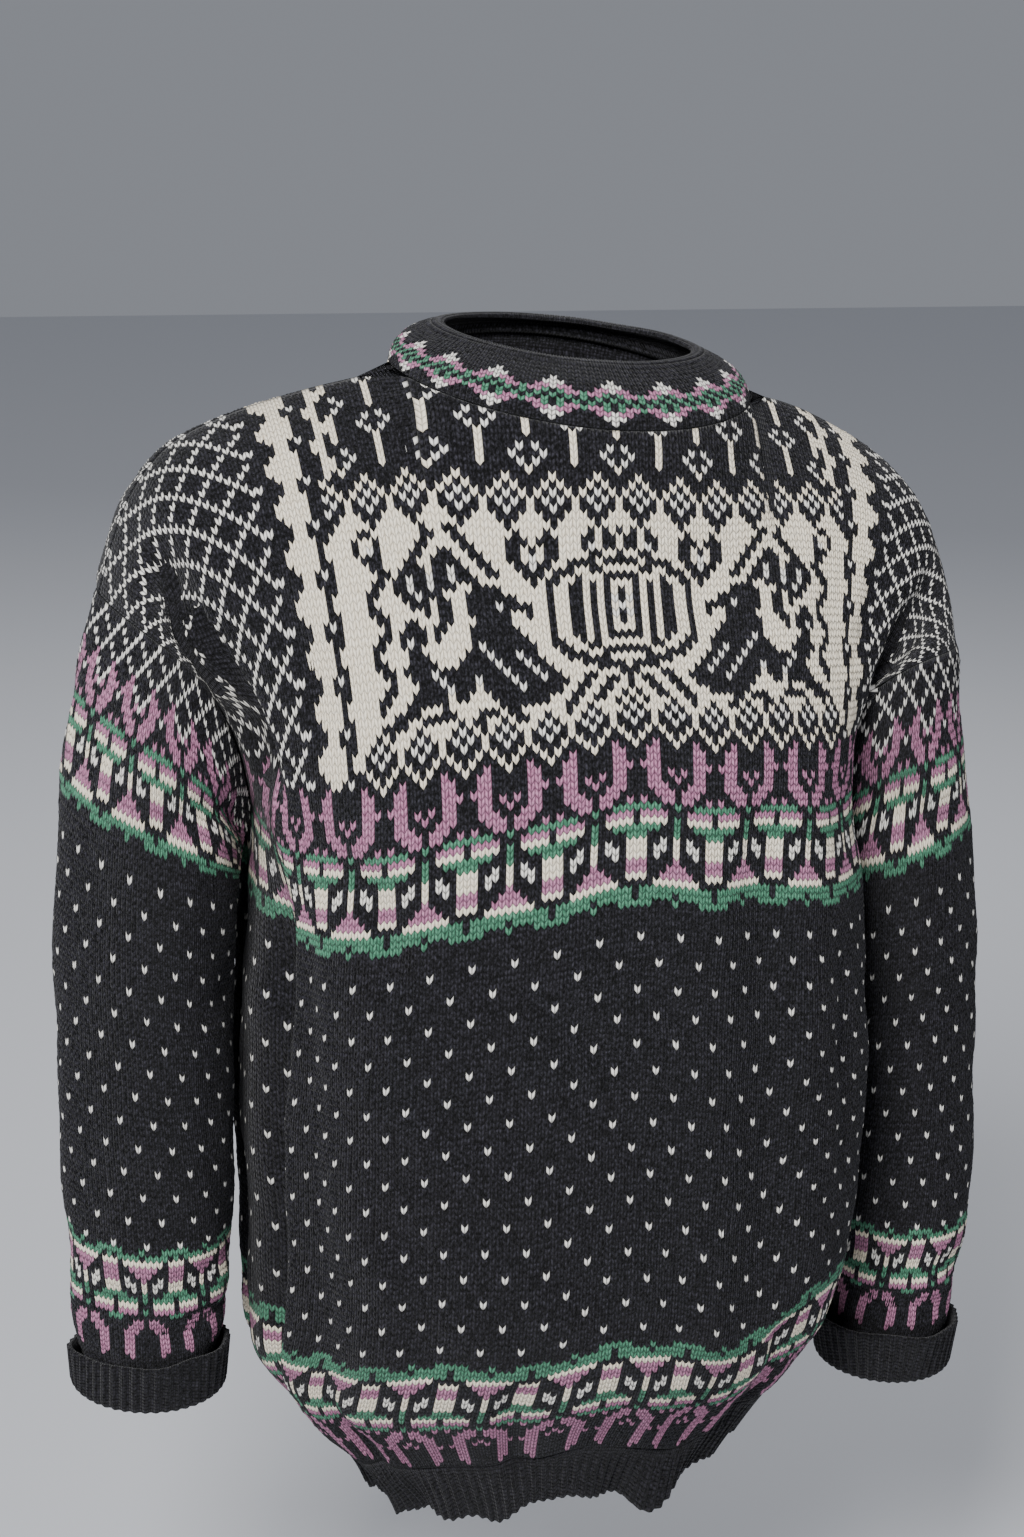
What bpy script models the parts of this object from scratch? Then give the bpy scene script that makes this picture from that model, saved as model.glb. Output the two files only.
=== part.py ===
"""Stranded-knit drop-shoulder sweater: front, back, two sleeves, doubled collar, hem rib and turned-up cuffs.

Metres, +Z up, the front faces -Y and the wearer's right arm is on -X. The origin is where the wearer's
neck and shoulders hold the garment. The cut is counted in stitches (u, from centre front to a side) and
rows (v, from the shoulder down), and each surface is a function of u and v.
"""
import math

import bmesh
import bpy
import numpy as np

# ---- the cut, in stitches and rows -------------------------------------------------------------
HALF = 78          # stitches from the centre front or back to the side
NECK = 25          # stitches from the centre to where the collar meets the shoulder seam
NECK_DROP = 10     # rows that the front neck is scooped
BACK_DROP = 2      # rows that the back neck is scooped
ARM_ROW = 62       # row of the foot of the armhole
BODY_ROWS = 170    # row where the hem rib starts
SLEEVE_ROWS = 112  # rows of a sleeve above its cuff
STITCH = 0.00415   # width of a stitch at the middle of the front

# ---- walls and seams -----------------------------------------------------------------------------
WALL = 0.0025      # the knit's thickness
RIB_WALL = 0.003   # the ribs' thickness
COLLAR_WALL = 0.0065  # the collar is knitted double
SEAM = 0.00022     # each edge stands this far back from its seam

FOOT_SEAM = 0.0030  # and this much further at the armhole's foot, where the walls turn sharply

# ---- the body below the armholes: one ring for each row of the table -------------------------------
# row, height, half widths at the wearer's right and left, depth of front and back
BODY_RINGS = (
    (62, -0.229, 0.194, 0.176, 0.147, 0.118),
    (73, -0.273, 0.188, 0.180, 0.151, 0.124),
    (84, -0.317, 0.189, 0.189, 0.153, 0.129),
    (100, -0.382, 0.191, 0.197, 0.155, 0.132),
    (118, -0.455, 0.191, 0.201, 0.157, 0.134),
    (136, -0.528, 0.185, 0.198, 0.159, 0.132),
    (148, -0.575, 0.183, 0.189, 0.153, 0.130),
    (160, -0.618, 0.177, 0.177, 0.130, 0.124),
    (172, -0.657, 0.148, 0.150, 0.105, 0.114),
    (184, -0.697, 0.110, 0.122, 0.096, 0.102),
    (196, -0.738, 0.088, 0.106, 0.088, 0.092),
)
RIB_ROWS = 12       # rows of the hem rib
RING_SQUARE = (2.7, 2.35)  # a ring's power at the wearer's right and left, where 2 is an ellipse
SIDE_Y = -0.010     # where a ring is widest
PRESSED = (0.001, 0.015)  # how far each arm presses the body's side in, right and left

# how many rows' height a stitch hangs below the row's middle
# stitch, front at the chest, front at the hem, back at the chest, back at the hem
ROW_DROOP = (
    (-78, 8.0, 5.0, 8.0, 5.0),
    (-60, 11.0, 7.5, 6.0, 4.0),
    (-48, 10.0, 7.0, 5.0, 3.0),
    (-36, 8.0, 4.5, 3.0, 2.0),
    (-24, 4.5, 2.5, 1.5, 1.0),
    (-12, 2.3, 2.5, 0.5, 0.3),
    (0, 0.0, -0.5, 0.0, 0.0),
    (12, 1.7, 2.0, 0.3, 0.2),
    (22, 2.6, 4.0, 1.0, 0.8),
    (36, 5.0, -2.0, 2.5, 1.5),
    (54, 6.0, -1.0, 4.0, 2.0),
    (78, 6.0, 3.0, 6.0, 3.0),
)

# ---- the shoulder line, from the collar to the armhole seam ---------------------------------------
# stitch, out, y, height
SHOULDER_RIGHT = (
    (25, 0.107, -0.008, -0.004),
    (38, 0.158, 0.006, -0.018),
    (50, 0.206, 0.010, -0.034),
    (58, 0.236, 0.010, -0.050),
    (66, 0.258, 0.008, -0.077),
    (72, 0.269, 0.004, -0.103),
    (78, 0.278, 0.000, -0.133),
)
SHOULDER_LEFT = (
    (25, 0.110, -0.008, -0.020),
    (38, 0.157, 0.006, -0.037),
    (50, 0.202, 0.011, -0.062),
    (58, 0.224, 0.012, -0.083),
    (66, 0.239, 0.010, -0.112),
    (72, 0.247, 0.006, -0.140),
    (78, 0.254, 0.004, -0.170),
)

# the line front and back would start from if the neck weren't cut out
# stitch, y at the front, y at the back, height over the collar's sides
NECK_LINE = (
    (0, -0.055, 0.020, 0.008),
    (8, -0.050, 0.017, 0.006),
    (16, -0.033, 0.006, 0.002),
    (25, -0.008, -0.008, 0.000),
)
NECK_REACH = 25    # rows over which the cloth leaves the collar's foot for its plain run

# ---- how the cloth leaves the shoulder line and comes to the armhole's foot -------------------------
# stitch, then at the shoulder: out, forward, down; then at the foot, added to the ring's own run
FRONT_RUN = (
    (0, 0.00, 0.060, 0.205, 0.00, 0.000, 0.00),
    (14, 0.00, 0.110, 0.190, 0.00, 0.000, 0.00),
    (25, 0.00, 0.190, 0.130, 0.00, 0.000, 0.00),
    (44, 0.01, 0.250, 0.070, 0.00, 0.000, 0.00),
    (62, 0.02, 0.280, 0.050, -0.02, 0.080, 0.02),
    (78, -0.03, 0.300, 0.030, -0.08, 0.290, 0.10),
)
BACK_RUN = (
    (0, 0.00, 0.110, 0.200, 0.00, 0.000, 0.00),
    (14, 0.00, 0.130, 0.190, 0.00, 0.000, 0.00),
    (25, 0.00, 0.190, 0.150, 0.00, 0.000, 0.00),
    (44, 0.01, 0.240, 0.080, 0.00, 0.000, 0.00),
    (62, 0.02, 0.260, 0.050, -0.02, 0.080, 0.02),
    (78, -0.03, 0.290, 0.030, -0.08, 0.290, 0.10),
)

# ---- the collar's foot and rim ----------------------------------------------------------------------
COLLAR_FOOT = (0.108, 0.083, -0.008)  # half width, half depth, y
COLLAR_RIM = (0.081, 0.064, 0.001)
COLLAR_FOOT_Z = (-0.026, -0.012, 0.004)  # height at front, side and back
COLLAR_RIM_Z = (0.007, 0.012, 0.014)
COLLAR_TILT = 0.08   # the collar's left side is lower, by this much of its width

# ---- large folds of front and back --------------------------------------------------------------------
# stitch and row where it starts, stitch and row where it ends, half width in stitches, depth
FRONT_FOLDS = (
    (-69, 14, -62, 52, 5.0, 0.024),
    (67, 18, 60, 52, 5.0, 0.012),
    (-54, 70, -47, 150, 6.0, 0.012),
    (21, 62, 25, 142, 6.0, 0.010),
    (-64, 70, -66, 160, 5.5, 0.026),
    (66, 70, 66, 160, 5.0, 0.020),
)
BACK_FOLDS = (
    (-67, 16, -61, 48, 5.0, 0.012),
    (67, 16, 61, 48, 5.0, 0.012),
    (-36, 70, -32, 158, 6.0, 0.020),
    (34, 66, 38, 158, 6.0, 0.020),
    (-4, 90, 2, 158, 5.0, 0.012),
    (-66, 70, -66, 160, 5.0, 0.014),
    (66, 70, 66, 160, 5.0, 0.014),
)

# ---- sleeves below the armholes -----------------------------------------------------------------------
# row, height, out, y, half width, half depth
SLEEVE_RIGHT = (
    (0, -0.185, 0.232, 0.000, 0.048, 0.072),
    (18, -0.250, 0.243, 0.000, 0.051, 0.071),
    (36, -0.322, 0.2490, 0.000, 0.0515, 0.066),
    (62, -0.425, 0.2487, -0.003, 0.0515, 0.060),
    (88, -0.525, 0.2465, -0.008, 0.0490, 0.054),
    (104, -0.582, 0.247, -0.012, 0.0445, 0.047),
    (112, -0.604, 0.247, -0.013, 0.0400, 0.042),
)
SLEEVE_LEFT = (
    (0, -0.222, 0.215, 0.006, 0.044, 0.072),
    (18, -0.288, 0.226, 0.010, 0.046, 0.070),
    (36, -0.356, 0.239, 0.011, 0.0465, 0.065),
    (62, -0.462, 0.2485, 0.010, 0.0470, 0.059),
    (88, -0.566, 0.2535, 0.006, 0.0455, 0.053),
    (104, -0.624, 0.2520, 0.003, 0.0400, 0.044),
    (112, -0.648, 0.2505, 0.002, 0.0370, 0.040),
)
SLEEVE_TILT = 0.026  # how much higher a row of the sleeve is outside than its middle, at the armhole
SLEEVE_BLEND = 34  # rows over which the armhole's loop becomes a plain ring

# ---- cuffs: each goes down from its sleeve, turns and comes up outside ---------------------------------
# step down from the sleeve's end, wall's distance from the sleeve's end ring
CUFF_INNER = ((0.0, 0.0), (0.009, -0.001), (0.018, 0.0))
CUFF_TURN = 0.0035    # radius of the turned edge
CUFF_UP = (0.027, 0.032)  # how far each cuff comes up again, right and left
CUFF_FLARE = (0.0015, 0.008)

# ---- how finely the cloth is divided ---------------------------------------------------------------------
STEP_U = 6
STEP_V = 10
AROUND_SLEEVE = 20
STEP_SLEEVE = 10
AROUND_COLLAR = 32

COLOURS = {
    "charcoal_knit": (0.035, 0.035, 0.042),
    "patterned_knit": (0.10, 0.095, 0.10),
    "charcoal_rib": (0.028, 0.028, 0.034),
}


# =============================== curves ====================================================================
def table(rows, at, column):
    """A smooth value of one column at a place in the first column."""
    xs = [r[0] for r in rows]
    ys = [r[column] for r in rows]
    at = min(max(at, xs[0]), xs[-1])
    i = max(k for k in range(len(xs) - 1) if at >= xs[k] or k == 0)
    h = xs[i + 1] - xs[i]
    slope = (ys[i + 1] - ys[i]) / h
    before = (ys[i] - ys[i - 1]) / (xs[i] - xs[i - 1]) if i > 0 else slope
    after = (ys[i + 2] - ys[i + 1]) / (xs[i + 2] - xs[i + 1]) if i + 2 < len(xs) else slope
    start, end = 0.5 * (before + slope) * h, 0.5 * (slope + after) * h
    t = (at - xs[i]) / h
    return hermite(ys[i], start, ys[i + 1], end, t)


def hermite(a, da, b, db, t):
    """A cubic from a to b, which leaves along da and arrives along db."""
    t2, t3 = t * t, t * t * t
    return (2 * t3 - 3 * t2 + 1) * a + (t3 - 2 * t2 + t) * da + (3 * t2 - 2 * t3) * b + (t3 - t2) * db


def smooth(t):
    t = min(max(t, 0.0), 1.0)
    return t * t * (3 - 2 * t)


def ring_quarter(width, depth, square, share):
    """(out, away, length) on a quarter of a ring, where share 0 is its middle and 1 its widest place."""
    angles = np.linspace(0, math.pi / 2, 49)
    power = 2 / square
    outs = width * np.sin(angles) ** power
    aways = depth * np.cos(angles) ** power
    along = np.concatenate([[0], np.cumsum(np.hypot(np.diff(outs), np.diff(aways)))])
    at = share * along[-1]
    return float(np.interp(at, along, outs)), float(np.interp(at, along, aways)), float(along[-1])


def ring_share(u, length):
    """How far round a quarter ring a stitch lies: full width in the middle, closer at the side."""
    n = abs(u)
    middle = min(STITCH, 1.25 * length / HALF)
    spare = HALF * middle - length
    return (middle * n - spare * (n / HALF) ** 3) / length


# =============================== front and back ==============================================================
def droop(u, v, side):
    """How many rows lower a stitch hangs than its row's middle."""
    low = smooth((v - 75) / 65)
    chest, hem = (1, 2) if side < 0 else (3, 4)
    return (1 - low) * table(ROW_DROOP, u, chest) + low * table(ROW_DROOP, u, hem)


def body_ring(u, v, side):
    """A place on the body below the armholes; side is -1 for the front and 1 for the back."""
    v = v + droop(u, v, side)
    width = table(BODY_RINGS, v, 2 if u < 0 else 3)
    depth = table(BODY_RINGS, v, 4 if side < 0 else 5)
    square = RING_SQUARE[0 if u < 0 else 1]
    length = ring_quarter(width, depth, square, 1.0)[2]
    out, away, _ = ring_quarter(width, depth, square, min(1.0, ring_share(u, length)))
    press = PRESSED[0 if u < 0 else 1] * smooth((abs(u) - 54) / 20)
    out -= press * smooth((v - 48) / 20) * smooth((158 - v) / 25)
    return np.array([math.copysign(out, u) if u else 0.0, SIDE_Y + side * away, table(BODY_RINGS, v, 1)])


def collar_ring(angle, shape, heights):
    """A place on the collar; angle 0 is the front and pi the back, and it turns towards +X."""
    width, depth, y = shape
    front, middle, back = heights
    c = math.cos(angle)
    z = middle + (front - middle) * max(c, 0) ** 1.5 + (back - middle) * max(-c, 0) ** 1.5
    x = width * math.sin(angle)
    return np.array([x, y - depth * c, z - COLLAR_TILT * x])


def top_edge(u, side):
    """(place, row) of the top of a column: on the collar's foot, or on the shoulder line."""
    n = abs(u)
    if n < NECK:
        angle = math.asin(u / NECK)
        drop = (NECK_DROP if side < 0 else BACK_DROP) * math.cos(angle)
        place = collar_ring(angle if side < 0 else math.pi - angle, COLLAR_FOOT, COLLAR_FOOT_Z)
        return place, drop
    rows = SHOULDER_RIGHT if u < 0 else SHOULDER_LEFT
    out, y, z = (table(rows, n, c) for c in (1, 2, 3))
    neck = collar_ring(math.copysign(math.pi / 2, u), COLLAR_FOOT, COLLAR_FOOT_Z)
    near = 1 - smooth((n - NECK) / 8)
    place = np.array([math.copysign(out, u), y, z])
    start = np.array([math.copysign(table(rows, NECK, 1), u), table(rows, NECK, 2), table(rows, NECK, 3)])
    return place + near * (neck - start), 0.0


def fold_depth(u, v, folds):
    """How far the large folds push the cloth in."""
    depth = 0.0
    for u0, v0, u1, v1, half, deep in folds:
        t = (v - v0) / (v1 - v0)
        if -0.15 < t < 1.15:
            fade = smooth((t + 0.15) / 0.3) * smooth((1.15 - t) / 0.3)
            middle = u0 + (u1 - u0) * t
            depth += deep * fade * math.exp(-(((u - middle) / half) ** 2))
    return depth


def uncut_line(u):
    """Where the front and back would start if the neck weren't cut out: out and height, for a stitch."""
    side = collar_ring(math.pi / 2, COLLAR_FOOT, COLLAR_FOOT_Z)[0]
    out = side * u / NECK
    return out, COLLAR_FOOT_Z[1] - COLLAR_TILT * out + table(NECK_LINE, abs(u), 3)


def body_plain(u, v, side):
    """Front (side -1) or back (side 1), before its folds."""
    if v >= ARM_ROW:
        return body_ring(u, v, side)
    top, row = top_edge(u, side)
    n = abs(u)
    start = top
    if n < NECK:
        out, height = uncut_line(u)
        start = np.array([out, table(NECK_LINE, n, 1 if side < 0 else 2), height])
    foot = body_ring(u, ARM_ROW, side)
    run = FRONT_RUN if side < 0 else BACK_RUN
    way = math.copysign(1, u) if u else 0.0
    leave = np.array([way * table(run, n, 1), side * table(run, n, 2), -table(run, n, 3)])
    arrive = (body_ring(u, ARM_ROW + 1, side) - foot) * ARM_ROW
    arrive += np.array([way * table(run, n, 4), -side * table(run, n, 5), -table(run, n, 6)])
    place = hermite(start, leave, foot, arrive, v / ARM_ROW)
    if n < NECK:
        cut = top - hermite(start, leave, foot, arrive, row / ARM_ROW)
        place = place + cut * (1 - smooth((v - row) / NECK_REACH))
    return place


def body(u, v, side):
    place = body_plain(u, v, side)
    deep = fold_depth(u, v, FRONT_FOLDS if side < 0 else BACK_FOLDS)
    if deep < 1e-5:
        return place
    step = 0.5
    across = body_plain(min(u + step, HALF), v, side) - body_plain(max(u - step, -HALF), v, side)
    low, high = max(v - step, top_edge(u, side)[1]), v + step
    down = body_plain(u, high, side) - body_plain(u, low, side)
    out = -side * np.cross(down, across)
    edge = 1 - smooth((abs(u) - (HALF - 6)) / 6)
    edge *= smooth((v - top_edge(u, side)[1]) / 8)
    return place - out / np.linalg.norm(out) * deep * edge


# =============================== sleeves and cuffs ===============================================================
def armhole(w, way):
    """A place on the armhole's loop: w runs 0 at the shoulder, 1 at the foot, 2 at the shoulder again."""
    side = -1 if w <= 1 else 1
    return body(way * HALF, ARM_ROW * (w if w <= 1 else 2 - w), side)


def sleeve_ring(w, row, way):
    rows = SLEEVE_RIGHT if way < 0 else SLEEVE_LEFT
    z, out, y, width, depth = (table(rows, row, c) for c in range(1, 6))
    angle = math.pi * w
    tilt = SLEEVE_TILT * math.cos(angle) * smooth(1 - row / 100)
    return np.array([way * (out + width * math.cos(angle)), y - depth * math.sin(angle), z + tilt])


def sleeve(w, row, way):
    plain = sleeve_ring(w, row, way)
    share = 1 - smooth(row / SLEEVE_BLEND)
    if share <= 0:
        return plain
    loop = armhole(w, way) - sleeve_ring(w, 0, way)
    return plain + share * loop


def cuff(w, distance, way):
    """A place on a cuff; distance runs from the sleeve down, round the turned edge and up outside."""
    up = CUFF_UP[0 if way < 0 else 1]
    flare = CUFF_FLARE[0 if way < 0 else 1]
    down = CUFF_INNER[-1][0]
    turn = math.pi * CUFF_TURN
    end = sleeve_ring(w, SLEEVE_ROWS, way)
    angle = math.pi * w
    out = np.array([way * math.cos(angle), -math.sin(angle), 0.0])
    bulge = 0.5 + 0.5 * math.sin(angle - 0.6)
    if distance <= down:
        return end + out * table(CUFF_INNER, distance, 1) - np.array([0, 0, distance])
    if distance <= down + turn:
        a = (distance - down) / CUFF_TURN
        return end + out * CUFF_TURN * (1 - math.cos(a)) - np.array([0, 0, down + CUFF_TURN * math.sin(a)])
    rise = distance - down - turn
    share = rise / up
    lean = 2 * CUFF_TURN + flare * bulge * share
    return end + out * lean + np.array([0, 0, rise * (1 - 0.25 * (1 - bulge)) - down])


# =============================== solids =============================================================================
def clear_scene():
    for thing in list(bpy.data.objects):
        bpy.data.objects.remove(thing, do_unlink=True)


def material(name):
    made = bpy.data.materials.get(name) or bpy.data.materials.new(name)
    made.use_nodes = True
    shader = made.node_tree.nodes["Principled BSDF"]
    shader.inputs["Base Color"].default_value = (*COLOURS[name], 1)
    shader.inputs["Roughness"].default_value = 0.95
    shader.inputs["Metallic"].default_value = 0.0
    return made


def shell(name, grid, wall, finish, collection, closed=False):
    """A closed wall on a grid of (outer place, inward direction), a row of the grid at a time."""
    mesh = bmesh.new()
    layers = []
    for depth in (0.0, wall):
        layers.append([[mesh.verts.new(place + inward * depth) for place, inward in row] for row in grid])
    rows, columns = len(grid), len(grid[0])
    pairs = [(j, (j + 1) % columns) for j in range(columns if closed else columns - 1)]
    for layer, flip in zip(layers, (False, True)):
        for i in range(rows - 1):
            for j, k in pairs:
                face = [layer[i][j], layer[i + 1][j], layer[i + 1][k], layer[i][k]]
                mesh.faces.new(face[::-1] if flip else face)
    top, inner = layers
    for i, flip in ((0, True), (rows - 1, False)):
        for j, k in pairs:
            face = [top[i][j], inner[i][j], inner[i][k], top[i][k]]
            mesh.faces.new(face[::-1] if flip else face)
    if not closed:
        for j, flip in ((0, False), (columns - 1, True)):
            for i in range(rows - 1):
                face = [top[i][j], inner[i][j], inner[i + 1][j], top[i + 1][j]]
                mesh.faces.new(face[::-1] if flip else face)
    bmesh.ops.recalc_face_normals(mesh, faces=mesh.faces)
    if mesh.calc_volume(signed=True) < 0:
        bmesh.ops.reverse_faces(mesh, faces=mesh.faces)
    data = bpy.data.meshes.new(name)
    mesh.to_mesh(data)
    mesh.free()
    made = bpy.data.objects.new(name, data)
    made.data.materials.append(material(finish))
    collection.objects.link(made)
    return made


# =============================== outward directions ====================================================================
def unit(vector):
    return vector / np.linalg.norm(vector)


def body_out(u, v, side):
    step = 1.0
    across = body(min(u + step, HALF), v, side) - body(max(u - step, -HALF), v, side)
    down = body(u, v + step, side) - body(u, max(v - step, top_edge(u, side)[1]), side)
    return unit(-side * np.cross(down, across))


def sleeve_out(w, row, way):
    step = 0.02
    around = sleeve(w + step, row, way) - sleeve(w - step, row, way) if step < w < 2 - step else (
        sleeve((w + step) % 2, row, way) - sleeve((w - step) % 2, row, way))
    down = sleeve(w, row + 2, way) - sleeve(w, max(row - 2, 0), way)
    return unit(-way * np.cross(down, around))


def collar_side_out(angle):
    return np.array([math.sin(angle), -math.cos(angle), 0.35])


def seam_out(u, v, side):
    """The outward direction at a place of the front or back, shared with each piece that is sewn there."""
    outs = [body_out(u, v, side)]
    at_side = abs(abs(u) - HALF) < 1e-6
    row = top_edge(u, side)[1]
    if at_side or (abs(v - row) < 1e-6 and abs(u) >= NECK):
        if at_side and 1e-6 < v < ARM_ROW - 1e-6:
            pass
        else:
            outs.append(body_out(u, v, -side))
    outs = [unit(sum(outs))]
    if at_side and v <= ARM_ROW + 1e-6:
        w = v / ARM_ROW if side < 0 else 2 - v / ARM_ROW
        outs.append(sleeve_out(w, 0, math.copysign(1, u)))
    if abs(v - row) < 1e-6 and abs(u) <= NECK:
        angle = math.asin(u / NECK)
        outs.append(unit(collar_side_out(angle if side < 0 else math.pi - angle)))
    return unit(sum(outs))


# =============================== pieces ====================================================================================
def columns():
    """Stitches of the grid's columns: even steps round the neck, then even steps to the side."""
    neck = [NECK * math.sin(math.radians(15 * k)) for k in range(1, 7)]
    out = [NECK + (HALF - NECK) * k / 9 for k in range(1, 10)]
    half = neck + out
    return [-u for u in reversed(half)] + [0.0] + half


def body_rows(u, side):
    row = top_edge(u, side)[1]
    upper = [row + (ARM_ROW - row) * k / 10 for k in range(11)]
    count = round((BODY_ROWS - ARM_ROW) / STEP_V)
    return upper + [ARM_ROW + (BODY_ROWS - ARM_ROW) * k / count for k in range(1, count + 1)]


def seam_back(w):
    """How far an armhole's edge stands back, by its place on the loop."""
    return SEAM + FOOT_SEAM * math.exp(-(((w - 1) / 0.3) ** 2))


def body_panel(name, side, collection):
    grid = []
    us = columns()
    rows = [body_rows(u, side) for u in us]
    for i in range(len(rows[0])):
        line = []
        for u, vs in zip(us, rows):
            v = vs[i]
            back_off = (seam_back(v / ARM_ROW) if v <= ARM_ROW else SEAM) / STITCH
            kept_u = max(min(u, HALF - back_off), back_off - HALF)
            back_off = SEAM / STITCH
            row = top_edge(kept_u, side)[1]
            kept_v = min(max(v, row + back_off), BODY_ROWS - back_off)
            line.append((body(kept_u, kept_v, side), -seam_out(u, v, side)))
        grid.append(line)
    return shell(name, grid, WALL, "patterned_knit", collection)


def sleeve_tube(name, way, collection):
    count = round(SLEEVE_ROWS / STEP_SLEEVE)
    grid = []
    for i in range(count + 1):
        row = SLEEVE_ROWS * i / count
        line = []
        for k in range(AROUND_SLEEVE):
            w = 2 * k / AROUND_SLEEVE
            kept = min(max(row, seam_back(w) / STITCH), SLEEVE_ROWS - SEAM / STITCH)
            if i == 0:
                side = -1 if w <= 1 else 1
                out = seam_out(way * HALF, ARM_ROW * (w if w <= 1 else 2 - w), side)
            elif i == count:
                out = np.array([way * math.cos(math.pi * w), -math.sin(math.pi * w), 0.0])
            else:
                out = sleeve_out(w, row, way)
            line.append((sleeve(w, kept, way), -out))
        grid.append(line)
    return shell(name, grid, WALL, "patterned_knit", collection, closed=True)


def cuff_band(name, way, collection):
    down = CUFF_INNER[-1][0]
    turn = math.pi * CUFF_TURN
    up = CUFF_UP[0 if way < 0 else 1]
    stops = [SEAM, down / 2, down, down + turn / 3, down + 2 * turn / 3, down + turn,
             down + turn + up / 2, down + turn + up]
    grid = []
    for stop in stops:
        line = []
        a = min(max((stop - down) / CUFF_TURN, 0.0), math.pi)
        for k in range(AROUND_SLEEVE):
            w = 2 * k / AROUND_SLEEVE
            out = np.array([way * math.cos(math.pi * w), -math.sin(math.pi * w), 0.0])
            face = -out * math.cos(a) + np.array([0, 0, -math.sin(a)])
            middle = cuff(w, stop, way) - out * RIB_WALL / 2
            line.append((middle + face * RIB_WALL / 2, -face))
        grid.append(line)
    return shell(name, grid, RIB_WALL, "charcoal_rib", collection, closed=True)


def collar_band(collection):
    grid = []
    for share in (0.0, 0.3, 0.62, 0.88, 1.0):
        line = []
        for side in (-1, 1):
            for u in [c for c in columns() if abs(c) <= NECK + 1e-6]:
                if side > 0 and abs(u) > NECK - 1e-6:
                    continue
                angle = math.asin(max(-1.0, min(1.0, side * -u / NECK)))
                if side > 0:
                    angle = math.pi - math.asin(-u / NECK)
                else:
                    angle = math.asin(u / NECK)
                foot = collar_ring(angle, COLLAR_FOOT, COLLAR_FOOT_Z)
                rim = collar_ring(angle, COLLAR_RIM, COLLAR_RIM_Z)
                bow = 0.006 * math.sin(math.pi * share)
                out = unit(collar_side_out(angle))
                lift = SEAM / np.linalg.norm(rim - foot)
                place = foot + (rim - foot) * max(share, lift) + out * bow
                if share == 0:
                    out = seam_out(u if side < 0 else -u, top_edge(u if side < 0 else -u, side)[1], side)
                line.append((place, -out))
        grid.append(line)
    return shell("collar", grid, COLLAR_WALL, "patterned_knit", collection, closed=True)


def hem_band(collection):
    grid = []
    us = columns()
    ring = [(u, -1) for u in us] + [(u, 1) for u in reversed(us[1:-1])]
    top = BODY_ROWS + SEAM / STITCH
    last = BODY_ROWS + RIB_ROWS
    for share in (0.0, 0.5, 1.0):
        line = []
        for u, side in ring:
            low = last - 0.6 + 0.6 * math.cos(math.pi * u / 6)
            v = top + (low - top) * share
            line.append((body(u, v, side), -seam_out(u, BODY_ROWS + (last - BODY_ROWS) * share, side)))
        grid.append(line)
    return shell("hem_rib", grid, RIB_WALL, "charcoal_rib", collection, closed=True)


def build():
    clear_scene()
    collection = bpy.data.collections.new("nordic_sweater")
    bpy.context.scene.collection.children.link(collection)
    body_panel("front", -1, collection)
    body_panel("back", 1, collection)
    sleeve_tube("sleeve_right", -1, collection)
    sleeve_tube("sleeve_left", 1, collection)
    collar_band(collection)
    hem_band(collection)
    cuff_band("cuff_right", -1, collection)
    cuff_band("cuff_left", 1, collection)


build()
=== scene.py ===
"""Looks of the stranded-knit drop-shoulder sweater: real stitches on the same form as its solids.

Metres, +Z up, the front faces -Y. A place in the cloth is a stitch (u, from the centre front to a side) and a
row (v, from the shoulder down). The motifs are charts drawn a letter to a stitch.
"""

import math

import bmesh
import bpy
import numpy as np
from mathutils import Matrix, Vector


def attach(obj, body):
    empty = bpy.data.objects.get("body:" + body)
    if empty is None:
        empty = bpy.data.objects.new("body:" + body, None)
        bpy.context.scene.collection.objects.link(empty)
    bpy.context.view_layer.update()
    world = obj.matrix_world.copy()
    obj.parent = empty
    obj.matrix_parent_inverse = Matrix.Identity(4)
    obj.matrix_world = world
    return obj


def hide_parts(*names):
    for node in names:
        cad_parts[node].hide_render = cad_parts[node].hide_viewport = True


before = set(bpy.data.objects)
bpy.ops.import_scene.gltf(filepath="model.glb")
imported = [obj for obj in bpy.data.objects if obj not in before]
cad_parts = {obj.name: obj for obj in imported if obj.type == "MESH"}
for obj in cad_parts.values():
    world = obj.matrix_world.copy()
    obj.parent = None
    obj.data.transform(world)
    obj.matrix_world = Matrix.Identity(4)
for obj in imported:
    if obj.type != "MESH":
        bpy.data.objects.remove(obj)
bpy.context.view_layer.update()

# ---- the cut, in stitches and rows -------------------------------------------------------------
HALF = 78          # stitches from the centre front or back to the side
NECK = 25          # stitches from the centre to where the collar meets the shoulder seam
NECK_DROP = 10     # rows that the front neck is scooped
BACK_DROP = 2      # rows that the back neck is scooped
ARM_ROW = 62       # row of the foot of the armhole
BODY_ROWS = 170    # row where the hem rib starts
SLEEVE_ROWS = 112  # rows of a sleeve above its cuff
STITCH = 0.00415   # width of a stitch at the middle of the front

# ---- walls and seams -----------------------------------------------------------------------------
WALL = 0.0025      # the knit's thickness
RIB_WALL = 0.003   # the ribs' thickness
COLLAR_WALL = 0.0065  # the collar is knitted double
SEAM = 0.00022     # each edge stands this far back from its seam
FOOT_SEAM = 0.0030  # and this much further at the armhole's foot, where the walls turn sharply

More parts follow.
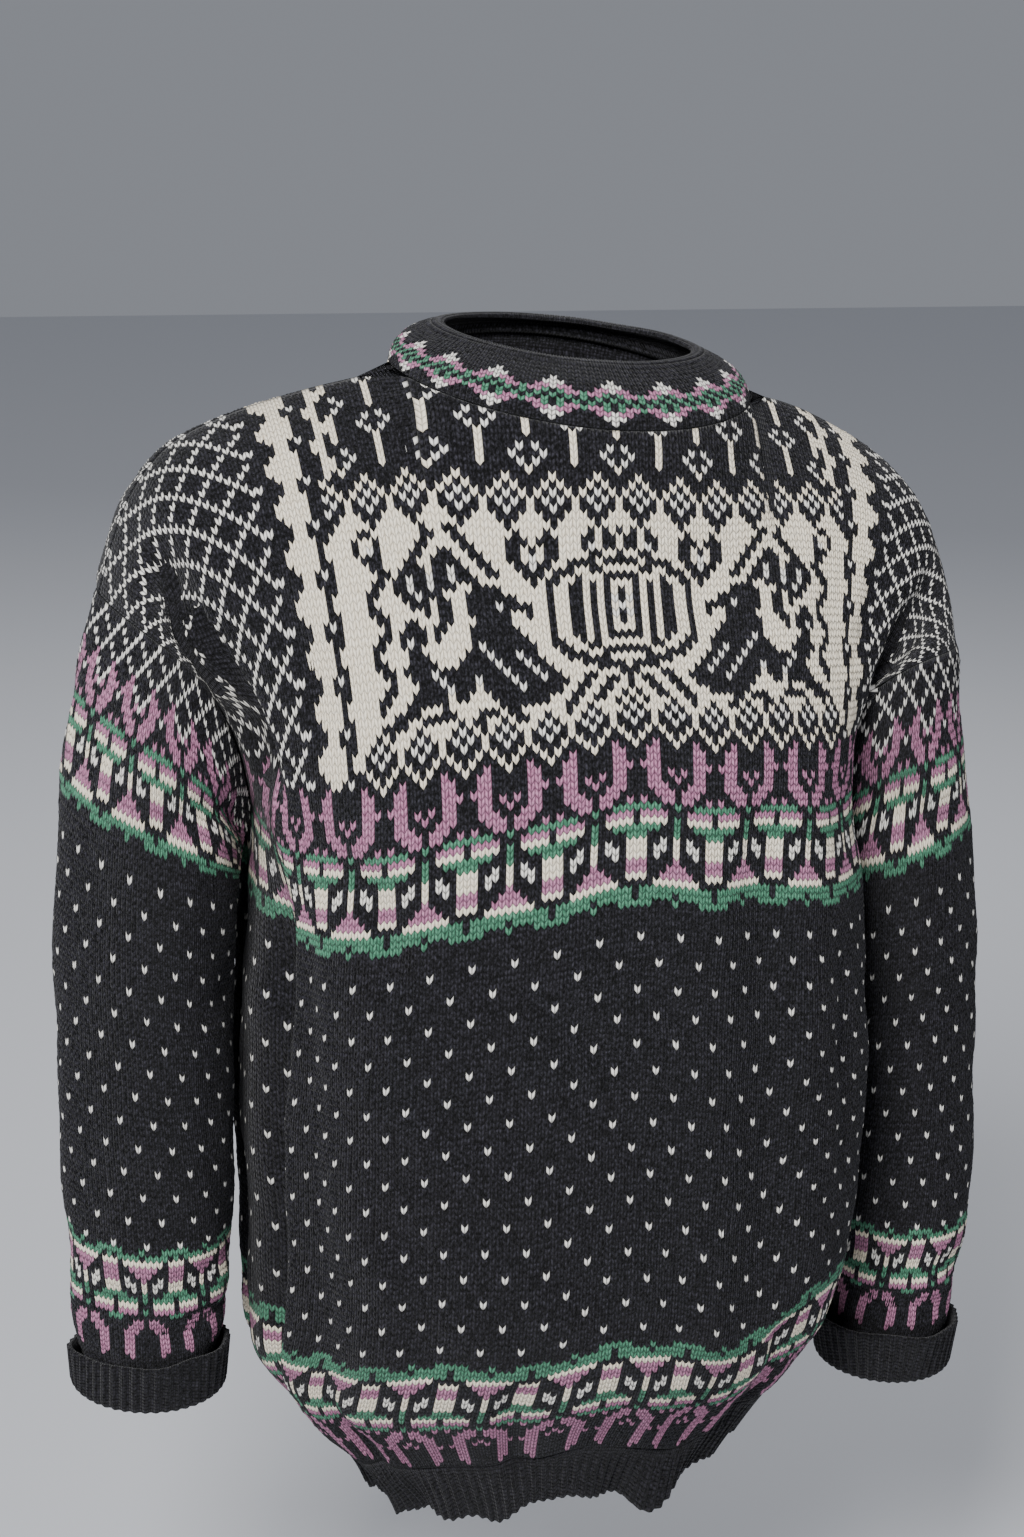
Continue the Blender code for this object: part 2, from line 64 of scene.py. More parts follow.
# ---- the body below the armholes: one ring for each row of the table -------------------------------
# row, height, half widths at the wearer's right and left, depth of front and back
BODY_RINGS = (
    (62, -0.229, 0.194, 0.176, 0.147, 0.118),
    (73, -0.273, 0.188, 0.180, 0.151, 0.124),
    (84, -0.317, 0.189, 0.189, 0.153, 0.129),
    (100, -0.382, 0.191, 0.197, 0.155, 0.132),
    (118, -0.455, 0.191, 0.201, 0.157, 0.134),
    (136, -0.528, 0.185, 0.198, 0.159, 0.132),
    (148, -0.575, 0.183, 0.189, 0.153, 0.130),
    (160, -0.618, 0.177, 0.177, 0.130, 0.124),
    (172, -0.657, 0.148, 0.150, 0.105, 0.114),
    (184, -0.697, 0.110, 0.122, 0.096, 0.102),
    (196, -0.738, 0.088, 0.106, 0.088, 0.092),
)
RIB_ROWS = 12       # rows of the hem rib
RING_SQUARE = (2.7, 2.35)  # a ring's power at the wearer's right and left, where 2 is an ellipse
SIDE_Y = -0.010     # where a ring is widest
PRESSED = (0.001, 0.015)  # how far each arm presses the body's side in, right and left

# how many rows' height a stitch hangs below the row's middle
# stitch, front at the chest, front at the hem, back at the chest, back at the hem
ROW_DROOP = (
    (-78, 8.0, 5.0, 8.0, 5.0),
    (-60, 11.0, 7.5, 6.0, 4.0),
    (-48, 10.0, 7.0, 5.0, 3.0),
    (-36, 8.0, 4.5, 3.0, 2.0),
    (-24, 4.5, 2.5, 1.5, 1.0),
    (-12, 2.3, 2.5, 0.5, 0.3),
    (0, 0.0, -0.5, 0.0, 0.0),
    (12, 1.7, 2.0, 0.3, 0.2),
    (22, 2.6, 4.0, 1.0, 0.8),
    (36, 5.0, -2.0, 2.5, 1.5),
    (54, 6.0, -1.0, 4.0, 2.0),
    (78, 6.0, 3.0, 6.0, 3.0),
)

# ---- the shoulder line, from the collar to the armhole seam ---------------------------------------
# stitch, out, y, height
SHOULDER_RIGHT = (
    (25, 0.107, -0.008, -0.004),
    (38, 0.158, 0.006, -0.018),
    (50, 0.206, 0.010, -0.034),
    (58, 0.236, 0.010, -0.050),
    (66, 0.258, 0.008, -0.077),
    (72, 0.269, 0.004, -0.103),
    (78, 0.278, 0.000, -0.133),
)
SHOULDER_LEFT = (
    (25, 0.110, -0.008, -0.020),
    (38, 0.157, 0.006, -0.037),
    (50, 0.202, 0.011, -0.062),
    (58, 0.224, 0.012, -0.083),
    (66, 0.239, 0.010, -0.112),
    (72, 0.247, 0.006, -0.140),
    (78, 0.254, 0.004, -0.170),
)

# the line front and back would start from if the neck weren't cut out
# stitch, y at the front, y at the back, height over the collar's sides
NECK_LINE = (
    (0, -0.055, 0.020, 0.008),
    (8, -0.050, 0.017, 0.006),
    (16, -0.033, 0.006, 0.002),
    (25, -0.008, -0.008, 0.000),
)
NECK_REACH = 25    # rows over which the cloth leaves the collar's foot for its plain run

# ---- how the cloth leaves the shoulder line and comes to the armhole's foot -------------------------
# stitch, then at the shoulder: out, forward, down; then at the foot, added to the ring's own run
FRONT_RUN = (
    (0, 0.00, 0.060, 0.205, 0.00, 0.000, 0.00),
    (14, 0.00, 0.110, 0.190, 0.00, 0.000, 0.00),
    (25, 0.00, 0.190, 0.130, 0.00, 0.000, 0.00),
    (44, 0.01, 0.250, 0.070, 0.00, 0.000, 0.00),
    (62, 0.02, 0.280, 0.050, -0.02, 0.080, 0.02),
    (78, -0.03, 0.300, 0.030, -0.08, 0.290, 0.10),
)
BACK_RUN = (
    (0, 0.00, 0.110, 0.200, 0.00, 0.000, 0.00),
    (14, 0.00, 0.130, 0.190, 0.00, 0.000, 0.00),
    (25, 0.00, 0.190, 0.150, 0.00, 0.000, 0.00),
    (44, 0.01, 0.240, 0.080, 0.00, 0.000, 0.00),
    (62, 0.02, 0.260, 0.050, -0.02, 0.080, 0.02),
    (78, -0.03, 0.290, 0.030, -0.08, 0.290, 0.10),
)

# ---- the collar's foot and rim ----------------------------------------------------------------------
COLLAR_FOOT = (0.108, 0.083, -0.008)  # half width, half depth, y
COLLAR_RIM = (0.081, 0.064, 0.001)
COLLAR_FOOT_Z = (-0.026, -0.012, 0.004)  # height at front, side and back
COLLAR_RIM_Z = (0.007, 0.012, 0.014)
COLLAR_TILT = 0.08   # the collar's left side is lower, by this much of its width

# ---- large folds of front and back --------------------------------------------------------------------
# stitch and row where it starts, stitch and row where it ends, half width in stitches, depth
FRONT_FOLDS = (
    (-69, 14, -62, 52, 5.0, 0.024),
    (67, 18, 60, 52, 5.0, 0.012),
    (-54, 70, -47, 150, 6.0, 0.012),
    (21, 62, 25, 142, 6.0, 0.010),
    (-64, 70, -66, 160, 5.5, 0.026),
    (66, 70, 66, 160, 5.0, 0.020),
)
BACK_FOLDS = (
    (-67, 16, -61, 48, 5.0, 0.012),
    (67, 16, 61, 48, 5.0, 0.012),
    (-36, 70, -32, 158, 6.0, 0.020),
    (34, 66, 38, 158, 6.0, 0.020),
    (-4, 90, 2, 158, 5.0, 0.012),
    (-66, 70, -66, 160, 5.0, 0.014),
    (66, 70, 66, 160, 5.0, 0.014),
)

# ---- sleeves below the armholes -----------------------------------------------------------------------
# row, height, out, y, half width, half depth
SLEEVE_RIGHT = (
    (0, -0.185, 0.232, 0.000, 0.048, 0.072),
    (18, -0.250, 0.243, 0.000, 0.051, 0.071),
    (36, -0.322, 0.2490, 0.000, 0.0515, 0.066),
    (62, -0.425, 0.2487, -0.003, 0.0515, 0.060),
    (88, -0.525, 0.2465, -0.008, 0.0490, 0.054),
    (104, -0.582, 0.247, -0.012, 0.0445, 0.047),
    (112, -0.604, 0.247, -0.013, 0.0400, 0.042),
)
SLEEVE_LEFT = (
    (0, -0.222, 0.215, 0.006, 0.044, 0.072),
    (18, -0.288, 0.226, 0.010, 0.046, 0.070),
    (36, -0.356, 0.239, 0.011, 0.0465, 0.065),
    (62, -0.462, 0.2485, 0.010, 0.0470, 0.059),
    (88, -0.566, 0.2535, 0.006, 0.0455, 0.053),
    (104, -0.624, 0.2520, 0.003, 0.0400, 0.044),
    (112, -0.648, 0.2505, 0.002, 0.0370, 0.040),
)
SLEEVE_TILT = 0.026  # how much higher a row of the sleeve is outside than its middle, at the armhole
SLEEVE_BLEND = 34  # rows over which the armhole's loop becomes a plain ring

# ---- cuffs: each goes down from its sleeve, turns and comes up outside ---------------------------------
# step down from the sleeve's end, wall's distance from the sleeve's end ring
CUFF_INNER = ((0.0, 0.0), (0.009, -0.001), (0.018, 0.0))
CUFF_TURN = 0.0035    # radius of the turned edge
CUFF_UP = (0.027, 0.032)  # how far each cuff comes up again, right and left
CUFF_FLARE = (0.0015, 0.008)

# small soft creases of the hanging cloth, as the large folds are written
FRONT_CREASES = (
    (-71, 26, -68, 58, 3.0, 0.0090),
    (71, 26, 68, 58, 3.0, 0.0070),
    (2, 84, 8, 96, 2.2, 0.0035),
    (-8, 92, -2, 100, 2.2, 0.0030),
    (-40, 62, -34, 78, 3.0, 0.0040),
    (-30, 120, -27, 150, 3.5, 0.0035),
    (8, 118, 10, 152, 3.5, 0.0030),
    (40, 84, 43, 128, 3.0, 0.0045),
    (-14, 148, -12, 172, 3.0, 0.0060),
    (30, 146, 33, 172, 3.0, 0.0060),
    (-44, 148, -42, 172, 3.5, 0.0060),
    (52, 20, 46, 40, 4.0, 0.0050),
    (-50, 24, -44, 46, 3.5, 0.0050),
)
BACK_CREASES = (
    (-10, 40, -14, 70, 4.0, 0.0040),
    (14, 44, 18, 74, 4.0, 0.0040),
    (20, 120, 22, 160, 3.5, 0.0045),
    (-20, 124, -18, 160, 3.5, 0.0045),
    (50, 84, 52, 130, 3.5, 0.0045),
    (-50, 84, -52, 130, 3.5, 0.0045),
    (-12, 148, -10, 172, 3.0, 0.0060),
    (28, 148, 30, 172, 3.0, 0.0060),
)
# place round the sleeve and row where a crease starts, where it ends, half width in rows, depth
SLEEVE_CREASES = (
    (0.95, 10, 0.45, 22, 3.0, 0.0050),
    (1.05, 16, 1.50, 28, 3.0, 0.0050),
    (0.85, 44, 0.35, 52, 3.5, 0.0030),
    (1.10, 50, 1.60, 60, 3.5, 0.0035),
    (0.80, 92, 0.20, 97, 3.0, 0.0040),
    (0.30, 103, 0.90, 100, 2.5, 0.0040),
    (1.20, 98, 1.80, 103, 3.0, 0.0045),
)


# ==== curves ======================================================================================
def hermite(a, da, b, db, t):
    t2, t3 = t * t, t * t * t
    return (2 * t3 - 3 * t2 + 1) * a + (t3 - 2 * t2 + t) * da + (3 * t2 - 2 * t3) * b + (t3 - t2) * db


def table(rows, at, column):
    """Smooth values of one column at places in the first column."""
    data = np.array(rows, dtype=float)
    xs, ys = data[:, 0], data[:, column]
    at = np.clip(at, xs[0], xs[-1])
    i = np.clip(np.searchsorted(xs, at, side="right") - 1, 0, len(xs) - 2)
    slopes = np.diff(ys) / np.diff(xs)
    knots = np.concatenate([slopes[:1], (slopes[:-1] + slopes[1:]) / 2, slopes[-1:]])
    h = xs[i + 1] - xs[i]
    return hermite(ys[i], knots[i] * h, ys[i + 1], knots[i + 1] * h, (at - xs[i]) / h)


def smooth(t):
    t = np.clip(t, 0.0, 1.0)
    return t * t * (3 - 2 * t)


def sided(rows, u, right, left):
    """A table's column for the wearer's right where u is below 0, and another for the left."""
    return np.where(u[0] < 0, table(rows, u[1], right), table(rows, u[1], left))


def stack(*parts):
    return np.stack(np.broadcast_arrays(*parts), axis=-1)


def pick(values, k):
    return np.take_along_axis(values, k[..., None], -1)[..., 0]


def ring_quarter(width, depth, square, share):
    angles = np.linspace(0, math.pi / 2, 49)
    power = (2 / square)[..., None]
    outs = width[..., None] * np.sin(angles) ** power
    aways = depth[..., None] * np.cos(angles) ** power
    along = np.cumsum(np.hypot(np.diff(outs), np.diff(aways)), axis=-1)
    along = np.concatenate([np.zeros(along.shape[:-1] + (1,)), along], axis=-1)
    length = along[..., -1]
    at = np.clip(share(length), 0, 1) * length
    k = np.clip((along <= at[..., None]).sum(-1) - 1, 0, 47)
    t = (at - pick(along, k)) / np.maximum(pick(along, k + 1) - pick(along, k), 1e-12)
    return pick(outs, k) * (1 - t) + pick(outs, k + 1) * t, pick(aways, k) * (1 - t) + pick(aways, k + 1) * t


# ==== the form, as the solids have it =============================================================
def body_ring(u, v, side):
    low = smooth((v - 75) / 65)
    chest, hem = (1, 2) if side < 0 else (3, 4)
    v = v + (1 - low) * table(ROW_DROOP, u, chest) + low * table(ROW_DROOP, u, hem)
    width = sided(BODY_RINGS, (u, v), 2, 3)
    depth = table(BODY_RINGS, v, 4 if side < 0 else 5)
    square = np.where(u < 0, RING_SQUARE[0], RING_SQUARE[1]) + 0 * v
    n = np.abs(u)

    def share(length):
        middle = np.minimum(STITCH, 1.25 * length / HALF)
        return (middle * n - (HALF * middle - length) * (n / HALF) ** 3) / length

    out, away = ring_quarter(width, depth, square, share)
    press = np.where(u < 0, *PRESSED) * smooth((n - 54) / 20)
    out = out - press * smooth((v - 48) / 20) * smooth((158 - v) / 25)
    return stack(np.sign(u) * out, SIDE_Y + side * away, table(BODY_RINGS, v, 1))


def collar_ring(angle, shape, heights):
    width, depth, y = shape
    front, middle, back = heights
    c = np.cos(angle)
    z = middle + (front - middle) * np.maximum(c, 0) ** 1.5 + (back - middle) * np.maximum(-c, 0) ** 1.5
    x = width * np.sin(angle)
    return stack(x, y - depth * c, z - COLLAR_TILT * x)


def top_edge(u, side):
    n = np.abs(u)
    angle = np.arcsin(np.clip(u / NECK, -1, 1))
    around = angle if side < 0 else math.pi - angle
    drop = np.where(n < NECK, (NECK_DROP if side < 0 else BACK_DROP) * np.cos(angle), 0.0)
    foot = collar_ring(around, COLLAR_FOOT, COLLAR_FOOT_Z)
    out, y, z = (np.where(u < 0, table(SHOULDER_RIGHT, n, c), table(SHOULDER_LEFT, n, c)) for c in (1, 2, 3))
    place = stack(np.sign(u) * out, y, z)
    neck = collar_ring(np.sign(u) * math.pi / 2, COLLAR_FOOT, COLLAR_FOOT_Z)
    first = [np.where(u < 0, SHOULDER_RIGHT[0][c], SHOULDER_LEFT[0][c]) for c in (1, 2, 3)]
    near = 1 - smooth((n - NECK) / 8)
    shoulder = place + near[..., None] * (neck - stack(np.sign(u) * first[0], first[1], first[2]))
    return np.where((n < NECK)[..., None], foot, shoulder), drop


def fold_depth(u, v, folds):
    depth = np.zeros(np.broadcast(u, v).shape)
    for u0, v0, u1, v1, half, deep in folds:
        t = (v - v0) / (v1 - v0)
        fade = smooth((t + 0.15) / 0.3) * smooth((1.15 - t) / 0.3)
        middle = u0 + (u1 - u0) * t
        depth = depth + deep * fade * np.exp(-(((u - middle) / half) ** 2))
    return depth


def body_plain(u, v, side):
    ring = body_ring(u, np.maximum(v, ARM_ROW), side)
    top, row = top_edge(u, side)
    n = np.abs(u)
    across = COLLAR_FOOT[0] * u / NECK
    height = COLLAR_FOOT_Z[1] - COLLAR_TILT * across + table(NECK_LINE, n, 3)
    uncut = stack(across, table(NECK_LINE, n, 1 if side < 0 else 2), height)
    start = np.where((n < NECK)[..., None], uncut, top)
    foot = body_ring(u, ARM_ROW + 0 * v, side)
    run = FRONT_RUN if side < 0 else BACK_RUN
    way = np.sign(u)
    leave = stack(way * table(run, n, 1), side * table(run, n, 2), -table(run, n, 3))
    arrive = (body_ring(u, ARM_ROW + 1 + 0 * v, side) - foot) * ARM_ROW
    arrive = arrive + stack(way * table(run, n, 4), -side * table(run, n, 5), -table(run, n, 6))
    place = hermite(start, leave, foot, arrive, (np.minimum(v, ARM_ROW) / ARM_ROW)[..., None])
    cut = top - hermite(start, leave, foot, arrive, (row / ARM_ROW)[..., None])
    cut = cut * ((n < NECK) * (1 - smooth((v - row) / NECK_REACH)))[..., None]
    return np.where((v >= ARM_ROW)[..., None], ring, place + cut)


def body(u, v, side, creases=()):
    u, v = np.broadcast_arrays(np.asarray(u, float), np.asarray(v, float))
    place = body_plain(u, v, side)
    row = top_edge(u, side)[1]
    deep = fold_depth(u, v, (FRONT_FOLDS if side < 0 else BACK_FOLDS) + creases)
    step = 0.5
    across = (body_plain(np.minimum(u + step, HALF), v, side)
              - body_plain(np.maximum(u - step, -HALF), v, side))
    down = body_plain(u, v + step, side) - body_plain(u, np.maximum(v - step, row), side)
    out = -side * np.cross(down, across)
    out = out / np.maximum(np.linalg.norm(out, axis=-1, keepdims=True), 1e-12)
    edge = (1 - smooth((np.abs(u) - (HALF - 6)) / 6)) * smooth((v - row) / 8)
    return place - out * (deep * edge)[..., None]


def armhole(w, way):
    u = way * HALF + 0 * w
    v = ARM_ROW * np.where(w <= 1, w, 2 - w)
    return np.where((w <= 1)[..., None], body(u, v, -1), body(u, v, 1))


def sleeve_ring(w, row, way):
    rows = SLEEVE_RIGHT if way < 0 else SLEEVE_LEFT
    z, out, y, width, depth = (table(rows, row, c) for c in range(1, 6))
    angle = math.pi * w
    tilt = SLEEVE_TILT * np.cos(angle) * smooth(1 - row / 100)
    return stack(way * (out + width * np.cos(angle)), y - depth * np.sin(angle), z + tilt)


def sleeve(w, row, way, creases=()):
    w, row = np.broadcast_arrays(np.asarray(w, float), np.asarray(row, float))
    plain = sleeve_ring(w, row, way)
    share = 1 - smooth(row / SLEEVE_BLEND)
    around = w % 2
    loop = armhole(around, way) - sleeve_ring(around, 0 * row, way)
    deep = np.zeros(w.shape)
    for w0, r0, w1, r1, half, depth in creases:
        t = (around - w0) / (w1 - w0)
        middle = r0 + (r1 - r0) * t
        fade = smooth((t + 0.2) / 0.4) * smooth((1.2 - t) / 0.4)
        deep = deep + depth * fade * np.exp(-(((row - middle) / half) ** 2))
    inward = stack(-way * np.cos(math.pi * w), np.sin(math.pi * w), 0 * w)
    return plain + share[..., None] * loop + inward * deep[..., None]


# ==== smooth sampling of a form ===================================================================
class Form:
    """A surface sampled on an even grid, and read back anywhere on it by smooth interpolation."""

    def __init__(self, make, us, vs, wrap=False):
        self.us, self.vs, self.wrap = us, vs, wrap
        self.grid = make(us[None, :], vs[:, None])

    def weights(self, t):
        return (-0.5 * t + t * t - 0.5 * t ** 3, 1 - 2.5 * t * t + 1.5 * t ** 3,
                0.5 * t + 2 * t * t - 1.5 * t ** 3, -0.5 * t * t + 0.5 * t ** 3)

    def at(self, u, v):
        fu = (u - self.us[0]) / (self.us[1] - self.us[0])
        fv = (v - self.vs[0]) / (self.vs[1] - self.vs[0])
        count_v, count_u = self.grid.shape[:2]
        iu = np.floor(fu).astype(int)
        iv = np.clip(np.floor(fv).astype(int), 0, count_v - 2)
        if not self.wrap:
            iu = np.clip(iu, 0, count_u - 2)
        wu, wv = self.weights(fu - iu), self.weights(fv - iv)
        total = 0
        for a in range(4):
            row = np.clip(iv + a - 1, 0, count_v - 1)
            for b in range(4):
                column = iu + b - 1
                column = column % count_u if self.wrap else np.clip(column, 0, count_u - 1)
                total = total + (wv[a] * wu[b])[..., None] * self.grid[row, column]
        return total


def normals(points, wrap=False):
    """Directions square to a grid of places."""
    if wrap:
        across = np.roll(points, -1, axis=1) - np.roll(points, 1, axis=1)
    else:
        across = np.gradient(points, axis=1)
    down = np.gradient(points, axis=0)
    out = np.cross(across, down)
    return out / np.maximum(np.linalg.norm(out, axis=-1, keepdims=True), 1e-12)


# ==== charts ======================================================================================
# . charcoal, c cream, w white, p mauve pink, g green
LETTERS = ".cwpg"

# the border under the bird panel: columns 0 to 6 from the middle of a horseshoe to the middle of a pillar
BORDER_TOP = 52
BORDER = (
    "...p...",
    "...pp..",
    "...pp..",
    "...ppp.",
    ".p.pp..",
    "p..pp..",
    "..ppp..",
    ".ppp...",
    ".pp..p.",
    "g..gggg",
    "..pppp.",
    "g.cccc.",
    "g..gggg",
    "g....gg",
    "c.w..cc",
    "c.ww.cc",
    "c..w.cc",
    "p....pp",
    "pp...pp",
    "ppp..cc",
    "cccc...",
    "gggggg.",
    ".ggggg.",
    "g...ggg",
)
# the same border as it's knitted above a cuff, upside down and shorter
CUFF_BORDER = (
    "g...ggg",
    ".gggg.g",
    "cccc.cc",
    "ppp..pp",
    "pp...pp",
    "p..w.pp",
    "c.ww.cc",
    "c.w..cc",
    "g...ggg",
    "g.gggg.",
    "..cccc.",
    "g.pppp.",
    ".....gg",
    ".pp....",
    ".ppp...",
    "..ppp..",
    "...pp..",
    "...pp..",
    "...pp..",
    "...pp..",
    "...p...",
)
# the border's rows that are knitted below an armhole
ARM_BORDER = tuple(BORDER[r] for r in (0, 2, 3, 4, 6, 7, 8, 9, 10, 11, 12, 14, 15, 17, 18, 19, 20, 21, 23))
HEM_TOP = 143

# half of the bird panel, from its outer edge to its middle: # dark, . cream, o a white stitch on the dark
PANEL_TOP = 20
PANEL = (
    "........................................",
    "..........##......##...............##...",
    "...........##....##................###..",
    "....##......##..##.......#...#.....#o#.#",
    "...#..#......##..##.....###.###...##.##.",
    "...#.o#.....##....##....##.#.##...#o.##.",
    "....###....##..##..##...##.o.##....##..#",
    ".....##...##..####..##...##o##..####.###",
    "......##.####.##o##..##...###.###..##...",
    ".....##.##o##o##o###.......#.##..#...###",
    "....##..##o##o###..####......#..##.#.#..",
    "....#....##o###...#######....#..##.#.#.#",
    "....##....###.##..####o####..#..##.#.#o#",
    ".....##.....#.##..######..#..#..##.#.#.o",
    "......#..##...##...#####.....#..##.#.#o#",
    ".....##.####.##...#######....#..##.#.#.#",
    "....##..#o##.#....########...#..##.#.#..",
    "....#....##.......#o#######..##..#.#.###",
    "....##...###.....###o###o##...##..##....",
    ".....##.#####...#####o###o##...###..####",
    "......#..###o#########o###o##....####...",
    ".....##...###o####o####o###o##.....####.",
    "....##...#####o###.#####o######..##...##",
    "....#...######.##...##########..##..##.#",
    "......####...#.......#######...##..##..#",
    "....####..######..######......##..##..##",
    "...###...##....####....##.....#..##..##.",
    "..##....##........##....................",
)


def panel_chart(c, r):
    """The bird panel and the two rows of small diamonds over and under it."""
    n = abs(c)
    for middle, outward, shift in ((20, -1, 0), (49, 1, 3)):
        y = r - middle
        a = abs((n + shift) % 6 - 3)
        if -4 <= y <= 3:
            reach = (-1, 0, 1, 2, 2, 1, 0, -1)[y + 4]
            if a <= reach:
                return "w" if (a, y) in ((0, -2), (1, -1), (0, 0)) else "."
            if a == reach + 1:
                return "c"
            if (y + 0.5) * outward > 0:
                return "."
    if not PANEL_TOP <= r < PANEL_TOP + len(PANEL):
        return "."
    return {"#": ".", "o": "w", ".": "c"}[PANEL[r - PANEL_TOP][39 - n]]


def flower_chart(c, r):
    """Columns of small flowers on stems, half-drop."""
    a = abs((c + 3) % 6 - 3)
    column = (c + 3) // 6
    y = (r + (2 if column % 2 else 6)) % 9
    if y < 3:
        return "w" if a == (1, 2, 1)[y] else "."
    return "c" if a == 0 and y < 8 else "."


def lattice(x, y):
    return "w" if (x + y) % 6 == 0 or (x - y) % 6 == 0 else "."


def border_chart(c, r, top):
    k = (c + 6) % 12
    k = min(k, 12 - k)
    return BORDER[r - top][k] if 0 <= r - top < len(BORDER) else "."


def hem_chart(c, r, top):
    """The border upside down, with longer horseshoes."""
    y = len(BORDER) - 1 - (r - top)
    if y < -2:
        return "."
    k = (c + 6) % 12
    return BORDER[max(y, 0 if y < -1 else 1)][min(k, 12 - k)]


def speckle(c, r, top, bottom):
    if not top <= r <= bottom or (r - top) % 4:
        return "."
    return "w" if (c + (2 if (r - top) % 8 else 5)) % 6 == 0 else "."


def body_chart(c, r):
    n = abs(c)
    if r >= HEM_TOP:
        return hem_chart(c, r, HEM_TOP)
    if r >= BORDER_TOP + len(BORDER):
        return speckle(c, r, 80, 140)
    if r > BORDER_TOP or r == BORDER_TOP and (n > 39 or border_chart(c, r, BORDER_TOP) == "p"):
        return border_chart(c, r, BORDER_TOP)
    if n <= 39 and r >= 16:
        return panel_chart(c, r)
    tooth = r % 6
    if n <= 36:
        return flower_chart(c, r)
    if n <= 39:
        return "c" if n == 38 or n == 37 and tooth in (1, 2) or n == 39 and tooth in (4, 5) else "."
    if n <= 41:
        if n == 40 and tooth in (0, 1) and r >= 22:
            return "c"
        return "w" if n == 41 and tooth == 3 else "."
    if n <= 46:
        first = 43 if tooth in (3, 4) else 42
        last = 46 if tooth in (0, 1) else (44 if tooth in (3, 4) else 45)
        return "c" if first <= n <= last else "."
    if n <= 48:
        return "w" if n == 48 and tooth == 3 else "."
    if r >= 48:
        # the lattice ends in points over the horseshoes
        a = abs((c + 3) % 6 - 3)
        return "w" if a == 52 - r or a == r - 46 and r < 50 else "."
    return lattice(c, r - 46)


def sleeve_chart(c, r):
    k = (c + 6) % 12
    k = min(k, 12 - k)
    if r >= 86:
        return CUFF_BORDER[r - 86][k] if r - 86 < len(CUFF_BORDER) else "."
    if r >= 6 + len(ARM_BORDER):
        return speckle(c, r, 29, 85)
    letter = ARM_BORDER[r - 6][k] if r >= 6 else "."
    if letter == "." and r < 10:
        a = abs((c + 3) % 6 - 3)
        return "w" if a == 9 - r or r < 6 and lattice(c, r - 3) == "w" else "."
    return letter


def collar_chart(c, r):
    """Peaks in white and pink on each side of a green and dark check; r counts down from the rim."""
    a = abs((c + 4) % 8 - 4)
    if 9 <= r <= 10:
        return "g" if (c + r) % 2 else "."
    y = 9 - r if r < 9 else r - 10
    if y == 1:
        return "p" if a in (2, 3) else ("g" if a == 4 or a == 1 else ".")
    if y == 2:
        return "p" if a in (1, 2) else ("w" if a == 0 else ".")
    if y == 3:
        return "w" if a <= 1 else "."
    return "w" if y == 4 and a == 0 else "."


